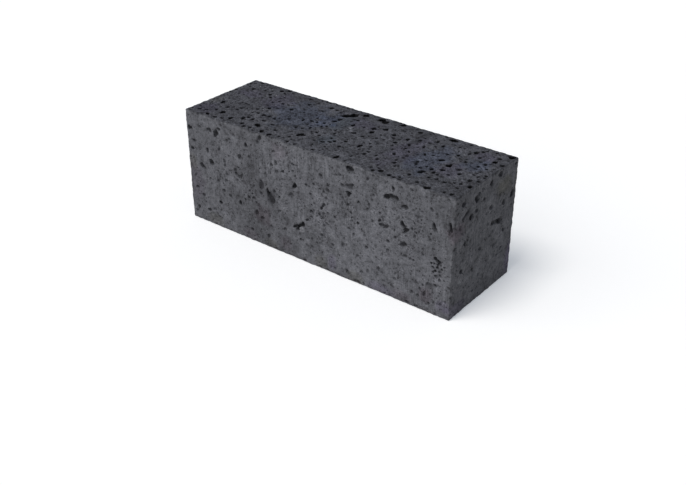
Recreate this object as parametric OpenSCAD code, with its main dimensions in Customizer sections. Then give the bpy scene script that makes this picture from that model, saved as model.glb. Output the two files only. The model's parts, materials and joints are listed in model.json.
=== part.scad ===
// Long-format concrete paving brick, pressed in one piece.
// It lies as it is laid in a street: bed face down, wearing face up, length along X.
// The origin is the middle of the bed face.

/* [Block] */
// Length of the brick, along X
length = 210; // [120:1:300]
// Width of the wearing face, along Y
width = 69; // [40:1:150]
// Height from the bed face to the wearing face, along Z
height = 80; // [40:1:120]

/* [Arrises] */
// Radius of the four long arrises
long_arris_r = 0.9; // [0.3:0.1:4]
// Radius of the four short arrises of the wearing face and the bed face
short_arris_r = 0.9; // [0.3:0.1:4]
// Radius of the four upright arrises
upright_arris_r = 0.9; // [0.3:0.1:4]

/* [Hidden] */
// How far each shaping bar runs past the block, so that no two end faces meet
overrun = 5;
// Facets of a full circle in the preview
$fn = 64;

// A rectangle w by h about the origin, with its corners rounded to r.
module rounded_rectangle(w, h, r) {
    square([w - 2 * r, h], center = true);
    square([w, h - 2 * r], center = true);
    for (x = [-1, 1], y = [-1, 1])
        translate([x * (w / 2 - r), y * (h / 2 - r)])
            circle(r = r);
}

// A bar with that section, longer than the block, standing along Z about the origin.
module bar(w, h, r, run) {
    linear_extrude(height = run + 2 * overrun, center = true)
        rounded_rectangle(w, h, r);
}

// Section across the length: it rounds the long arrises.
module bar_along_length() {
    rotate([90, 0, 90])
        bar(width, height, long_arris_r, length);
}

// Section across the width: it rounds the short arrises at the ends.
module bar_along_width() {
    rotate([90, 0, 0])
        bar(length, height, short_arris_r, width);
}

// Plan of the brick: it rounds the upright arrises.
module bar_along_height() {
    bar(length, width, upright_arris_r, height);
}

// The brick is what the three bars have in common.
module brick() {
    color([0.32, 0.325, 0.345])
        translate([0, 0, height / 2])
            intersection() {
                bar_along_length();
                bar_along_width();
                bar_along_height();
            }
}

brick();
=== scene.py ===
# %% [markdown]
# # A long-format concrete paving brick
#
# This lesson builds the looks of one concrete paving brick around a plain CAD block.
# The real brick is pressed in a steel mould from a nearly dry mix of dark cement, sand and
# crushed stone. The press leaves flat faces and tight edges, and the air that can't get out
# leaves hundreds of small blow holes. So the work is in three parts: a mesh that really has the
# holes, a material for the cement skin between them, and a stage with soft light.

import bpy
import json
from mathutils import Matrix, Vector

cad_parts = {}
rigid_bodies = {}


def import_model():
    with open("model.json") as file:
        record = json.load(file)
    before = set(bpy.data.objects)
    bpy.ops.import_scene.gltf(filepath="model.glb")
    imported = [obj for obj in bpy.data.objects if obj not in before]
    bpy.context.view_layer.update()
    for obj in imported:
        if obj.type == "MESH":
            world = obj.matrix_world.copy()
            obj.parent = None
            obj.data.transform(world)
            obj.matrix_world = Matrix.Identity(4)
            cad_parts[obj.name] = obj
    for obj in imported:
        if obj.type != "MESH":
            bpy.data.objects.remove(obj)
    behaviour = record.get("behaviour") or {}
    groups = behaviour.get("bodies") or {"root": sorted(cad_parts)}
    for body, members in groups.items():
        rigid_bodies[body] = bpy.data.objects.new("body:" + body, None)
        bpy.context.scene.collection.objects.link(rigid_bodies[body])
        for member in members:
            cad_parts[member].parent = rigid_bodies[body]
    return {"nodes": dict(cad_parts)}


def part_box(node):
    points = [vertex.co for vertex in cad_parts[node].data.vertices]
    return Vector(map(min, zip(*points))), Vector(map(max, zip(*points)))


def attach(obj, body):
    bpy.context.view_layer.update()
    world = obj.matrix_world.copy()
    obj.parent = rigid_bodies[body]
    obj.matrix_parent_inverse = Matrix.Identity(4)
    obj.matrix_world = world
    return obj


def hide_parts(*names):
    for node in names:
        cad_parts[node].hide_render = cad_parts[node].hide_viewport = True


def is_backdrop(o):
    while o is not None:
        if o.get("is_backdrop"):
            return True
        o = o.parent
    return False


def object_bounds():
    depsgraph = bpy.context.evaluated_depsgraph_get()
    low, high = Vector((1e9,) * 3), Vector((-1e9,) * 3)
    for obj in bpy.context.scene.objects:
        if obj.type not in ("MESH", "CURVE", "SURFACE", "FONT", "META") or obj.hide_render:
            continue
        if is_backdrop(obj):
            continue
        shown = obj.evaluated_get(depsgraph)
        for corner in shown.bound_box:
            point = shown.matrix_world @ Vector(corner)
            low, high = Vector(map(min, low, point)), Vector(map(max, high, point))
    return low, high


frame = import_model()
cad_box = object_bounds()
print("the packed nodes:", sorted(frame["nodes"]))

# %% Tools, and the brick's own size
import json
import math
import random
from collections import defaultdict, namedtuple
from itertools import product

import bpy
from mathutils import Euler, Matrix, Vector
from mathutils.kdtree import KDTree

MM = 0.001
low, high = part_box("brick")
length, width, height = high - low
middle = (low + high) / 2
print(f"the brick measures {length / MM:.0f} x {width / MM:.0f} x {height / MM:.0f} mm")

# %% [markdown]
# ## The camera
#
# The brick is looked at from its front right, from about 30 degrees above the floor, through
# a normal 50 mm lens. A camera could be turned by hand with three angles. It is simpler to say
# where it stands and what it looks at, and to let `to_track_quat` work out the turn.

# %% Place the camera
AZIMUTH = math.radians(38.0)
ELEVATION = math.radians(30.1)
CAMERA_DISTANCE = 0.634
LENS_MM, SENSOR_MM, FARTHEST_SEEN = 50, 36, 20
aim = Vector((middle.x, middle.y, low.z))
towards_camera = Vector((
    math.sin(AZIMUTH) * math.cos(ELEVATION),
    -math.cos(AZIMUTH) * math.cos(ELEVATION),
    math.sin(ELEVATION),
))

camera_data = bpy.data.cameras.new("camera")
camera_data.lens = LENS_MM
camera_data.sensor_width = SENSOR_MM
camera_data.clip_end = FARTHEST_SEEN
camera = bpy.data.objects.new("camera", camera_data)
camera.location = aim + CAMERA_DISTANCE * towards_camera
camera.rotation_euler = (-towards_camera).to_track_quat("-Z", "Y").to_euler()
bpy.context.scene.collection.objects.link(camera)
bpy.context.scene.camera = camera
print("the camera stands at", [round(value, 3) for value in camera.location])

# %% [markdown]
# ## Small helpers
#
# Operators act on whatever is selected, so every step starts by selecting nothing. A modifier
# is only a promise until it is applied: after that its result is the mesh itself. It is kept
# out of the viewport until then, so that Blender works it out once and not twice.

# %% Helpers for selecting and for modifiers


def select_only(thing):
    """Selects one object and nothing else, and makes it the active one."""
    bpy.ops.object.select_all(action="DESELECT")
    thing.select_set(True)
    bpy.context.view_layer.objects.active = thing


def apply_modifier(thing, kind, **settings):
    """Adds a modifier with these settings to the object and applies it at once."""
    select_only(thing)
    modifier = thing.modifiers.new(kind.lower(), kind)
    modifier.show_viewport = False
    for name, value in settings.items():
        setattr(modifier, name, value)
    bpy.ops.object.modifier_apply(modifier=modifier.name)


def settle(thing):
    """Moves an object's place, turn and size into its mesh."""
    select_only(thing)
    bpy.ops.object.transform_apply(location=True, rotation=True, scale=True)


# %% [markdown]
# ## The pressed block
#
# The block starts as a cube of the brick's own size. Its twelve edges, which a mason calls
# arrises, come out of the mould slightly rounded, so they get a bevel in edit mode.

# %% Model the block
ARRIS = 0.9 * MM
ARRIS_STEPS = 3

bpy.ops.object.select_all(action="DESELECT")
bpy.ops.mesh.primitive_cube_add(size=1, location=middle, scale=(length, width, height))
brick = bpy.context.object
brick.name = "paving_brick"
brick.data.name = "paving_brick"
settle(brick)
bpy.ops.object.mode_set(mode="EDIT")
bpy.ops.mesh.select_all(action="SELECT")
bpy.ops.mesh.bevel(offset=ARRIS, segments=ARRIS_STEPS, affect="EDGES")
bpy.ops.object.mode_set(mode="OBJECT")
print("the block has", len(brick.data.polygons), "faces")

# %% [markdown]
# ## Shapes of blow holes
#
# A blow hole is the print of an air bubble that lay against the mould. Small ones are nearly
# round, larger ones are lumpy where bubbles met. They could be painted as dark dots, but only
# real hollows catch the light on their far walls. So a few lumpy balls are modelled once, and
# every hole is cut with a copy of one of them. Each ball gets its lumps from another place in
# one cloudy texture, and each is lumpier than the one before.

# %% Model the balls that cut the holes
BALL_COUNT, BALL_FACET_LEVEL = 6, 2
STEP_ALONG, STEP_ACROSS = 7.3, 3.1
FIRST_LUMPS, MORE_LUMPS = 0.6, 0.12
# Where the texture is brighter than this level the skin goes out, and elsewhere it goes in.
BALL_LEVEL = 0.5
LUMP_SIZE, LUMP_DETAIL = 0.9, 1
lumps = bpy.data.textures.new("lumps", "CLOUDS")
lumps.noise_scale = LUMP_SIZE
lumps.noise_depth = LUMP_DETAIL


def lumpy_ball(number, roughness):
    """A ball of radius 1 with its skin pushed in and out by the lumps texture."""
    bpy.ops.object.select_all(action="DESELECT")
    place = (STEP_ALONG * number, STEP_ACROSS * number, 0)
    bpy.ops.mesh.primitive_ico_sphere_add(subdivisions=BALL_FACET_LEVEL, radius=1, location=place)
    ball = bpy.context.object
    apply_modifier(ball, "DISPLACE", texture=lumps, texture_coords="GLOBAL",
                   strength=roughness, mid_level=BALL_LEVEL)
    ball.location = (0, 0, 0)
    return ball


balls = [lumpy_ball(number, FIRST_LUMPS + MORE_LUMPS * number) for number in range(BALL_COUNT)]
print("modelled", len(balls), "lumpy balls of", len(balls[0].data.polygons), "faces")

# %% [markdown]
# ## The six faces
#
# Every hole is placed on a face, by its distance along the face and up the face from the
# face's own lower left corner, as someone standing in front of it would measure. This class
# turns those two distances into a place and a direction on the block.

# %% Describe the faces


class Face:
    """One flat face: its lower left corner, its two directions and the way it looks."""

    def __init__(self, corner, along, up, size):
        self.corner = Vector(corner)
        self.along = Vector(along)
        self.up = Vector(up)
        self.out = self.along.cross(self.up)
        self.size = size

    def point(self, along_mm, up_mm, out_mm=0.0):
        """The point at these distances, in metres."""
        return self.corner + MM * (along_mm * self.along + up_mm * self.up + out_mm * self.out)


L_MM, W_MM, H_MM = length / MM, width / MM, height / MM
FRONT = Face((low.x, low.y, low.z), (1, 0, 0), (0, 0, 1), (L_MM, H_MM))
TOP = Face((low.x, low.y, high.z), (1, 0, 0), (0, 1, 0), (L_MM, W_MM))
RIGHT = Face((high.x, low.y, low.z), (0, 1, 0), (0, 0, 1), (W_MM, H_MM))
BACK = Face((high.x, high.y, low.z), (-1, 0, 0), (0, 0, 1), (L_MM, H_MM))
LEFT = Face((low.x, high.y, low.z), (0, -1, 0), (0, 0, 1), (W_MM, H_MM))
BED = Face((low.x, high.y, low.z), (1, 0, 0), (0, -1, 0), (L_MM, W_MM))
print("the front looks towards", tuple(FRONT.out), "and the top towards", tuple(TOP.out))

# %% [markdown]
# ## The holes that give this brick its face
#
# The larger holes are listed one by one, because they are what makes one brick look different
# from the next. Each bracket reads: distance along, distance up, width, height, all in
# millimetres. A fifth number turns the hole anticlockwise, in degrees. A list holds the holes of
# one depth: black ones go in further than they are wide, deep and dark ones not quite so far,
# smooth and plain ones about half as far, wide ones are shallow basins, and dents only press the
# skin in. On the open top the same words stand for deeper holes than on the front, and the deep
# ones of the right end are a little less deep. Where bubbles have met, several holes are listed
# so close together that they become one: the horseshoe is a ring of them, and the cluster is a
# spot of froth.

# %% List the deeper holes of the front
FRONT_BLACK = [
    (136.2, 60.8, 5, 2), (136.1, 59.4, 2.6, 3.2), (99.9, 27.2, 3.2, 4.6, -12),
    (98, 25.8, 2.8, 2.4, 20), (95.6, 24.2, 4.8, 2.6, 20), (92.9, 23.2, 3.6, 2, 40),
    (95.4, 22.2, 2.4, 2.4), (94.1, 52.8, 3, 3.4, -20), (92.9, 51.2, 2.4, 2.4),
    (71, 41.4, 2.4, 5.2, 10), (175, 53, 2.6, 4.4, 20), (176.4, 51.6, 2.6, 2.8, -40),
    (178.2, 50.2, 3.6, 2.4, 12), (177, 49.4, 2.6, 2.4), (176.8, 48.2, 1.9, 2.6, -30),
    (198.6, 38.4, 3, 2.8), (200.9, 36.8, 3.4, 2.8, -30), (199.8, 37.6, 3, 2.8),
    (207.4, 61.4, 2.4, 7.2, 12), (6.4, 9.4, 2.8, 2.3, 20),
]
FRONT_DEEP = [
    (30.2, 73.3, 3.4, 2.4), (131.2, 64.6, 2.2, 2), (114.6, 65.8, 2.8, 2.4), (165.2, 38, 2.8, 2.4),
    (197.2, 56.8, 3.4, 2.8), (143, 42.4, 2.3, 2.1), (6.4, 58.9, 3.2, 2.3, 25),
    (4.2, 52.7, 3.2, 2.4, 20), (18.2, 55.2, 2.6, 4), (53.8, 68.5, 3, 3.8), (27.6, 19.2, 3.4, 3),
    (46, 25, 2.6, 3.6), (16.2, 9.9, 3.6, 2.3), (103.2, 55.8, 2.5, 2.4), (120, 57.2, 3, 2.3),
    (106.9, 38.6, 3, 2.5), (92.8, 66.6, 3.6, 1.9), (84.6, 59.3, 2.6, 2.4),
    (103.6, 31.4, 3.6, 1.9, 35), (116.6, 46, 2, 3.4, -30), (115, 43.4, 2.2, 3.2, -25),
    (144, 1.6, 4.6, 1.8), (180, 1.6, 4.4, 1.8), (12, 1.4, 3, 1.2), (22, 1.3, 2.4, 1.2),
    (76.5, 1.4, 4.2, 1.2), (101, 1.4, 3, 1.2), (187, 1.5, 3.4, 1.4), (200, 1.5, 3, 1.4),
    (36, 1.3, 2.2, 1.1), (114, 1.4, 3, 1.3), (58, 1.3, 2.4, 1.1), (164, 1.4, 2.4, 1.2),
]
FRONT_DARK = [
    (163.4, 67, 4.8, 3.6, 20), (166.8, 68.1, 5.4, 3.3), (170, 67.9, 5, 3.5, -12),
    (136.6, 76.6, 6.6, 4), (176.2, 64.2, 5.4, 3.1, 12), (27.2, 69.2, 3, 3.6, -15),
    (21.2, 48.2, 4, 3.8), (2.6, 67.6, 3, 3.4), (161.8, 47.2, 7, 2.6, -2),
    (158.8, 49.8, 3.4, 2, 40), (164.8, 48, 1.8, 2.2), (196.5, 58.8, 2.8, 4.8, 8),
    (138.4, 66.2, 4.6, 2, 35),
]
print("listed", len(FRONT_BLACK) + len(FRONT_DEEP) + len(FRONT_DARK), "deeper holes of the front")

# %% List the other holes of the front
FRONT_SMOOTH = [
    (4.6, 67.4, 2.2, 3), (21.6, 47, 4.6, 4.2, -15), (12.2, 42.5, 3.8, 4), (14.2, 41.2, 3.6, 2.8),
    (11.4, 20, 3, 3), (176.6, 39.8, 5.6, 3.6, 25), (47.4, 58.8, 3.4, 3.8),
    (65.8, 76.8, 3, 4.2, -30),
]
FRONT_WIDE = [
    (66, 44.4, 3.4, 8), (90.8, 44.6, 3.8, 5.2, -20), (72.6, 39, 4.6, 6, 25), (75, 36, 5, 5, 25),
    (60.6, 22.4, 3.4, 5, -15), (136.4, 65, 5.8, 3), (137.6, 75.2, 7, 4), (167.4, 66.7, 8, 3.4),
    (195, 19.2, 5.4, 3.4), (204.8, 61, 3.4, 5),
]
FRONT_PLAIN = [
    (12.1, 70.6, 3.6, 2.4), (21.1, 70.4, 5, 3.2, -15), (27.2, 69.9, 4.6, 5.8, -15),
    (39.1, 68.4, 3.2, 2.3, 15), (43.4, 72.5, 2.4, 3.2, -20), (56.1, 61, 2.6, 3.2),
    (29.1, 58.5, 2.7, 2.7), (35.1, 42.6, 3.2, 2.8), (34.3, 37.6, 3.2, 2.2), (33.8, 51.4, 1.8, 3.8),
    (26.6, 35.3, 3, 2.8), (5.1, 33.2, 4.6, 2.4, 45), (31.5, 29.5, 2.2, 3, -20),
    (37.1, 27.4, 2.7, 2.7), (6.1, 24.5, 2.9, 2.6), (21.6, 12.2, 3.6, 1.9, 10),
    (63.9, 73.4, 2.6, 3.2, -30), (65.3, 38, 2.4, 2.4), (79.3, 57.4, 2.9, 2.9),
    (75.1, 61.3, 2.5, 2.5), (78.5, 63.4, 1.9, 4), (77.1, 71, 3.2, 1.9, 25), (95.9, 66.7, 2.4, 1.8),
    (92.5, 61.9, 2.6, 2.2), (90.8, 44.8, 3, 3.8), (60.6, 22.4, 2.8, 4), (82.7, 48.4, 2.8, 1.8, 20),
    (80, 29.9, 3.2, 2.2), (84.8, 18.3, 3, 3.2, -30), (65.2, 20.3, 3.2, 2.5, 20), (54.1, 31.8, 3, 3),
    (58.5, 32.2, 3.6, 2.5), (70.5, 8.4, 2.7, 3.6, -25), (55.6, 8.5, 2.7, 2.7), (131.9, 64, 2.3, 2),
    (150, 74.3, 2.5, 3.4, -30), (154, 77.4, 2.4, 1.8), (130.1, 70.4, 2.8, 1.9, 25),
    (154.3, 64.6, 2, 2.5), (119.1, 51.7, 2.8, 2), (139, 42.8, 2.3, 2), (137.7, 48.1, 2.3, 2.3),
    (136.5, 36.9, 2.8, 2), (138, 39.9, 1.9, 1.9), (183.8, 47.8, 2.1, 3.1),
    (179.5, 57.4, 5, 1.7, 20), (175.1, 56.8, 1.7, 3), (159.1, 54.4, 2.1, 2.4),
    (170.5, 42.6, 2.6, 2.5, 20), (177.5, 32.4, 3.6, 2.3, 20), (181.5, 32, 2.3, 2.2),
    (165.1, 31.9, 2.1, 2.7), (194.5, 68.7, 2.5, 2.9), (198, 66.7, 1.9, 1.9),
    (188.5, 65.2, 2.5, 1.7), (194.5, 48.9, 1.9, 2.9), (199.9, 26.2, 2.5, 2.1),
    (195.5, 18.9, 4.6, 2.4), (192.1, 12.3, 2.5, 4.6, -20), (187.5, 9.2, 1.9, 2.5),
    (203.5, 8.8, 2.3, 2.3), (199.1, 8.4, 1.9, 2.6), (195.2, 6.2, 1.9, 3), (149.8, 28.2, 2.7, 2.5),
    (161.5, 27.9, 2.1, 2.5), (131.8, 23.4, 2.5, 3.5), (132.7, 28.2, 1.7, 3),
    (115.3, 24.6, 2.7, 2.5), (123.8, 20.9, 2.3, 2.5, -30), (114.5, 18.3, 4, 1.8),
    (159, 16.6, 2.1, 3, -30), (150.9, 12, 2.1, 3.4), (146, 9.4, 2.8, 2.4, 20),
    (134.8, 6.4, 2.3, 2.3), (163, 9.6, 2.8, 2),
]
FRONT_HORSESHOE = [
    (42.8, 48.2, 2.4, 3.2, -15), (43.4, 45.6, 2.5, 2.3, -30), (45, 44.5, 3.4, 2.3),
    (46.8, 44.3, 3.2, 2.3), (48, 45, 2.5, 2, 30), (49, 46.4, 1.9, 2.5), (47.2, 49.2, 1.7, 2.4),
    (45.4, 50.4, 2.6, 1.6),
]
FRONT_CLUSTER = [
    (196, 34.6, 1.8, 2.2), (198, 35, 1.8, 1.6), (200.3, 34.9, 2, 1.8), (197.2, 32.2, 2.4, 1.9, -20),
    (200, 32.8, 2, 2, 40), (202.5, 35, 1.5, 1.8), (198.9, 30.2, 1.9, 2.4, -35),
    (201.4, 30.6, 2, 1.5, 30), (203.2, 32.6, 1.7, 1.6), (197.5, 28.9, 1.6, 1.6, -40),
    (204.6, 34.6, 1.5, 1.5), (199.2, 27, 2.6, 1.6),
]
FRONT_DENTS = [(45.4, 47.4, 8, 6.6), (58, 54, 8, 6), (25, 7, 8, 5)]
print("listed", len(FRONT_PLAIN), "plain holes of the front")

# %% List the deep holes of the top
TOP_DEEP = [
    (94.4, 59.6, 5.6, 6.2), (92.4, 57, 5.2, 4.8), (91, 55, 5.6, 4.4), (101, 64.2, 4.2, 4.6),
    (113.4, 64.2, 5.6, 5.4), (117.2, 63, 5.2, 4.6, -15), (129.4, 65.6, 4.2, 4.2), (144.2, 63, 3.2, 3.6),
    (167, 65.6, 6.4, 4), (207.4, 65.6, 4, 4), (187, 58.6, 3.2, 3.9), (202.3, 53.6, 2.9, 3.6),
    (209.2, 52.6, 2.4, 2.8), (166.2, 54.1, 2.4, 3.4), (124.1, 53.6, 3.4, 3.9), (132.9, 50, 3.1, 3.3),
    (117.6, 50, 2.9, 4.4), (119.6, 45.3, 3, 3.9), (111.6, 37.2, 3.7, 3.4), (176.2, 37.4, 3.3, 3.7),
    (183.6, 33.6, 3.2, 5), (183.8, 26.6, 3.1, 3.6), (175, 16.4, 3, 3),
    (208.6, 18, 3, 3.8), (135.4, 20.4, 2.7, 2.5), (126.2, 24, 2.9, 5), (124.9, 2, 3.6, 4, -15),
    (189.2, 1.6, 3.8, 3.2), (11.3, 24.6, 2.7, 4.6, 30), (23.5, 11.4, 3.3, 4.6),
    (34.6, 7.4, 3.2, 5, 15), (17.6, 3.2, 3, 3.4, 30), (25.4, 2.6, 3.2, 2.4, -35), (46.3, 5.9, 2.9, 3),
    (55.3, 9.9, 3.6, 3.4), (57.2, 8.9, 2.6, 2.4), (64.5, 3.8, 2.6, 4.6, 20), (71.7, 2.6, 3, 3.6, 15),
    (87.3, 15.2, 4.4, 4), (89.2, 15.5, 2.8, 2.6), (86.5, 13.2, 2.4, 2.6), (43.1, 34.9, 2.4, 4, 35),
    (48.1, 24, 3, 3.6, 20), (91.8, 48.4, 3, 3.6), (90.8, 44.6, 2.5, 2.9), (103.9, 46.3, 2.5, 3.8),
    (75.8, 60.3, 3.2, 3.2), (80.6, 59.8, 2.7, 2.6), (33.6, 66.6, 3.1, 3.2), (29.6, 63, 2.9, 3.6, 20),
    (8.6, 66.6, 3, 2.8), (45.2, 46.2, 2.2, 3.4, 25), (109.8, 20, 2.2, 2.8, 30), (104.6, 15, 3, 2.4),
    (108.4, 17.4, 3.6, 2.2, -30),
]
print("listed", len(TOP_DEEP), "deep holes of the top")

# %% List the plain holes of the top
TOP_PLAIN = [
    (56.1, 42.2, 2.6, 3.6, 25), (33.8, 61.4, 2.2, 2), (24.3, 59.2, 2.7, 2.5),
    (19.5, 57.2, 2.2, 2.4), (2.5, 61.1, 1.8, 2.4), (102.6, 29, 2, 3.6, 10),
    (105.2, 22.6, 2, 2.8, 30), (156.4, 4.2, 3.2, 3), (175.8, 18.4, 3, 3.2), (6.1, 56.6, 2.2, 2.2),
    (11.5, 54.6, 2.8, 3.2), (27.3, 53.6, 2.6, 3.4, 30), (30.5, 50.4, 2.5, 2),
    (38, 29.4, 2.2, 2.8, 20), (25, 32.2, 2.5, 2, -30), (28.7, 24.4, 2.7, 3), (23, 22.1, 2.2, 2.5),
    (28.2, 20.4, 2.7, 2.2), (42.9, 24.6, 2.7, 3), (52.2, 24.9, 2.2, 3), (20.1, 19.6, 1.9, 4.4),
    (43, 15.4, 2.5, 2.7), (47, 14.6, 1.9, 3.6, 15), (40.8, 12.6, 2.4, 5, 25),
    (54.5, 17.3, 3.1, 2.2), (11.5, 8.4, 2.7, 2.2), (7.5, 6.4, 2.5, 2.7), (30, 3.8, 2.2, 2.2),
    (50, 3, 2.2, 3), (78.5, 4.4, 1.9, 2.8, 20), (87.2, 2.4, 2.2, 3, 25), (93.3, 1.6, 2.6, 2.2),
    (70.2, 10.3, 3, 2.4), (83.5, 8.2, 1.9, 3, 25), (96.9, 20.9, 2.2, 2.7), (85.1, 26.6, 2, 3.4, 20),
    (77.1, 21.9, 2.2, 2.5), (65.1, 29.4, 2.6, 2.7), (73.5, 33.4, 2.2, 4, 20),
    (79, 35.6, 3.4, 2.1, -20), (82.5, 36.2, 2.1, 2.5), (87.1, 38.2, 2, 3.6, 15),
    (89.5, 32.6, 2, 2.5), (54.5, 63.9, 4, 2.4), (69.8, 66.6, 2.2, 2), (60, 56.3, 3, 2.4, -20),
    (57.5, 23.9, 3, 2.1, -30), (62.5, 16.1, 3, 2.1), (178.7, 66.6, 2.8, 2.2),
    (189.5, 62.6, 2.1, 2.8), (191.1, 64.2, 2, 2.2), (184.5, 54.8, 2.3, 2.9), (192.1, 54.2, 2, 2.5),
    (202, 59.8, 2.8, 2.9), (160.2, 58.2, 2.1, 2.9), (150.4, 53, 2.4, 2.5),
    (143.5, 49.5, 2.5, 4, 15), (135.3, 46.1, 2.7, 2.5), (126.5, 44.6, 2.1, 2.5),
    (119.1, 36.2, 2.5, 3), (157.5, 46.8, 2, 4, 20), (148.8, 43.6, 2.1, 4.6, 30),
    (154.6, 35, 1.6, 3.8, 35), (164, 38, 1.7, 5, 35), (140.1, 41.3, 2.5, 3.4),
    (141.3, 36.6, 2.1, 2.1), (168.8, 39.8, 2.1, 2.1), (190.9, 32.9, 2.3, 3.7),
    (201.3, 32.1, 2.2, 2.4), (204.5, 31.6, 2.1, 2.2), (207.5, 35.2, 2.1, 2.4),
    (197.7, 42.9, 2, 3.4), (198.1, 39.4, 2.5, 2), (203.3, 42.6, 2, 2.5), (195.5, 49.6, 2.5, 2),
    (199.5, 48, 2.2, 3), (180.5, 49.2, 2.2, 3), (207.8, 26.4, 2.2, 2.2), (203.3, 24.6, 2.4, 3),
    (189.4, 23.3, 2.2, 2.4), (194.2, 27.9, 2.1, 3), (181.5, 20.6, 2, 3.4), (184.7, 19.6, 2, 2.1),
    (178.3, 23.9, 2.2, 3), (172.1, 21.2, 2.3, 2.2), (166, 27.4, 2, 3.2, 20),
    (167.2, 24, 2.3, 3.2, 15), (149.1, 27.6, 2.2, 4.4, 25), (198.2, 16.8, 2.2, 2.2),
    (201.5, 17.6, 2, 2.1), (193.1, 14.2, 2.5, 2.5), (187.7, 14.6, 2.3, 2.7),
    (172, 10.1, 2, 3.4, 25), (142, 19.2, 2.1, 2.7), (145.3, 15.3, 2.1, 3, 20),
    (135.3, 16.6, 2.6, 3.3), (115.4, 24.2, 2.6, 2.6), (130.9, 9.3, 1.9, 2.8, 20),
    (163.3, 2.5, 2.5, 3), (153.5, 6.1, 2.1, 1.8), (204.5, 4, 2.2, 3.8), (199.5, 3.6, 1.8, 2.1),
    (181, 5, 2.2, 2.5), (156.3, 17.6, 2.1, 3.4, 10), (116.9, 15.6, 2.1, 2.5),
]
print("listed", len(TOP_PLAIN), "plain holes of the top")

# %% List the holes of the right end
RIGHT_DEEP = [
    (8.6, 73.4, 4.6, 3.4), (22.6, 70.6, 3.6, 4), (25, 73.4, 2.8, 2.2, 30), (38, 75, 3.6, 4.2),
    (30.9, 67.7, 3.2, 2, -20), (17, 62, 3.8, 4), (57.2, 36.2, 4.2, 2.4, -30), (10.2, 29.2, 2.9, 3.3),
]
RIGHT_SMOOTH = [
    (43.4, 46.8, 4.8, 3, -5), (47.2, 46, 5, 2.8, -12), (51.2, 44.6, 6.6, 4, -14),
    (22, 71.8, 4.2, 4), (48, 76.8, 5, 3.6),
]
RIGHT_PLAIN = [
    (64.6, 58, 5, 5), (28.5, 75.3, 2.5, 2.1), (66, 77, 3, 2.4), (12.4, 66.2, 5, 2.5, 20),
    (9, 64, 2.8, 2.7), (10.6, 65.2, 2.6, 2), (23.5, 63.4, 4.2, 2.6, -15), (6.2, 59.6, 2.2, 3.3),
    (39.8, 58.8, 4.6, 3.6, 15), (54.6, 56, 3.8, 4.2, 20), (12.2, 46.7, 2.9, 3), (44, 41, 3.6, 1.9, -30),
    (14.8, 48, 3.2, 1.7, -35), (40.8, 39, 2.8, 2, -25), (46.8, 30.2, 3.2, 2.4, -20),
    (22.6, 24.6, 2.6, 2.2), (56.5, 24.2, 4.2, 2.1), (30.5, 35, 3.8, 2.2, -30), (8.8, 55, 2.4, 3, 30),
    (52, 21, 3, 1.8), (35, 56.5, 2.4, 1.8),
]
RIGHT_DENTS = [(27, 28.6, 5, 4), (47, 63, 6, 5), (15, 12, 7, 5)]
print("listed", len(RIGHT_DEEP) + len(RIGHT_SMOOTH) + len(RIGHT_PLAIN), "holes of the right end")

# %% [markdown]
# ## From a bracket to a hole
#
# A hole's depth is a share of its smaller width. The middle of the ball that cuts it lies a
# little below the face, by the hole's sink, which gives the hole the crisp and slightly undercut
# rim that a bubble leaves. A dent's ball has its middle above the face, so its rim is soft. A
# ball must not come through the next face, so holes near an arris are moved in a little.

# %% Helpers that describe a hole
Hole = namedtuple("Hole", "face along up wide tall turn depth sink")
HOLE_SINK, DENT_SINK = 0.25, -0.5
DENT_DEPTH, TOP_GROWTH, RIM_MARGIN = 0.5, 1.1, 0.7


def hole_frame(hole):
    """The place, turn and half sizes of the ball that cuts a hole."""
    mouth = math.sqrt(1 - hole.sink ** 2)
    half_depth = hole.depth / (1 + hole.sink)
    place = hole.face.point(hole.along, hole.up, -hole.sink * half_depth)
    axes = Matrix((hole.face.along, hole.face.up, hole.face.out)).transposed()
    spin = axes @ Matrix.Rotation(math.radians(hole.turn), 3, "Z")
    halves = Vector((hole.wide / 2 / mouth, hole.tall / 2 / mouth, half_depth)) * MM
    return place, spin, halves


def ball_reach(hole):
    """The middle of a hole's ball, and how far the ball reaches from there."""
    place, _, halves = hole_frame(hole)
    return place, max(halves)


def listed_hole(face, depth_share, along, up, wide, tall, turn=0):
    """A hand-written hole, or a dent where no share of depth is given."""
    if depth_share is None:
        return Hole(face, along, up, wide, tall, turn, DENT_DEPTH, DENT_SINK)
    growth = TOP_GROWTH if face is TOP else 1
    wide, tall = growth * wide, growth * tall
    return Hole(face, along, up, wide, tall, turn, depth_share * min(wide, tall), HOLE_SINK)


def kept_inside(hole):
    """Moves a hole in from the arrises, so that it doesn't break through the next face."""
    turn = math.radians(hole.turn)
    reach_along = math.hypot(hole.wide * math.cos(turn), hole.tall * math.sin(turn)) / 2 + RIM_MARGIN
    reach_up = math.hypot(hole.wide * math.sin(turn), hole.tall * math.cos(turn)) / 2 + RIM_MARGIN
    face_along, face_up = hole.face.size
    return hole._replace(along=min(max(hole.along, reach_along), face_along - reach_along),
                         up=min(max(hole.up, reach_up), face_up - reach_up))


# %% Turn the lists into holes
OPEN_SHARE, DEEP_SHARE, MIDDLE_SHARE = 1.2, 0.8, 0.66
SMOOTH_SHARE, PLAIN_SHARE, WIDE_SHARE = 0.58, 0.5, 0.3


def listed_holes(*lists):
    """The holes of some lists, each given as its face, its share of depth and its brackets."""
    return [listed_hole(face, share, *shape) for face, share, shapes in lists for shape in shapes]


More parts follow.
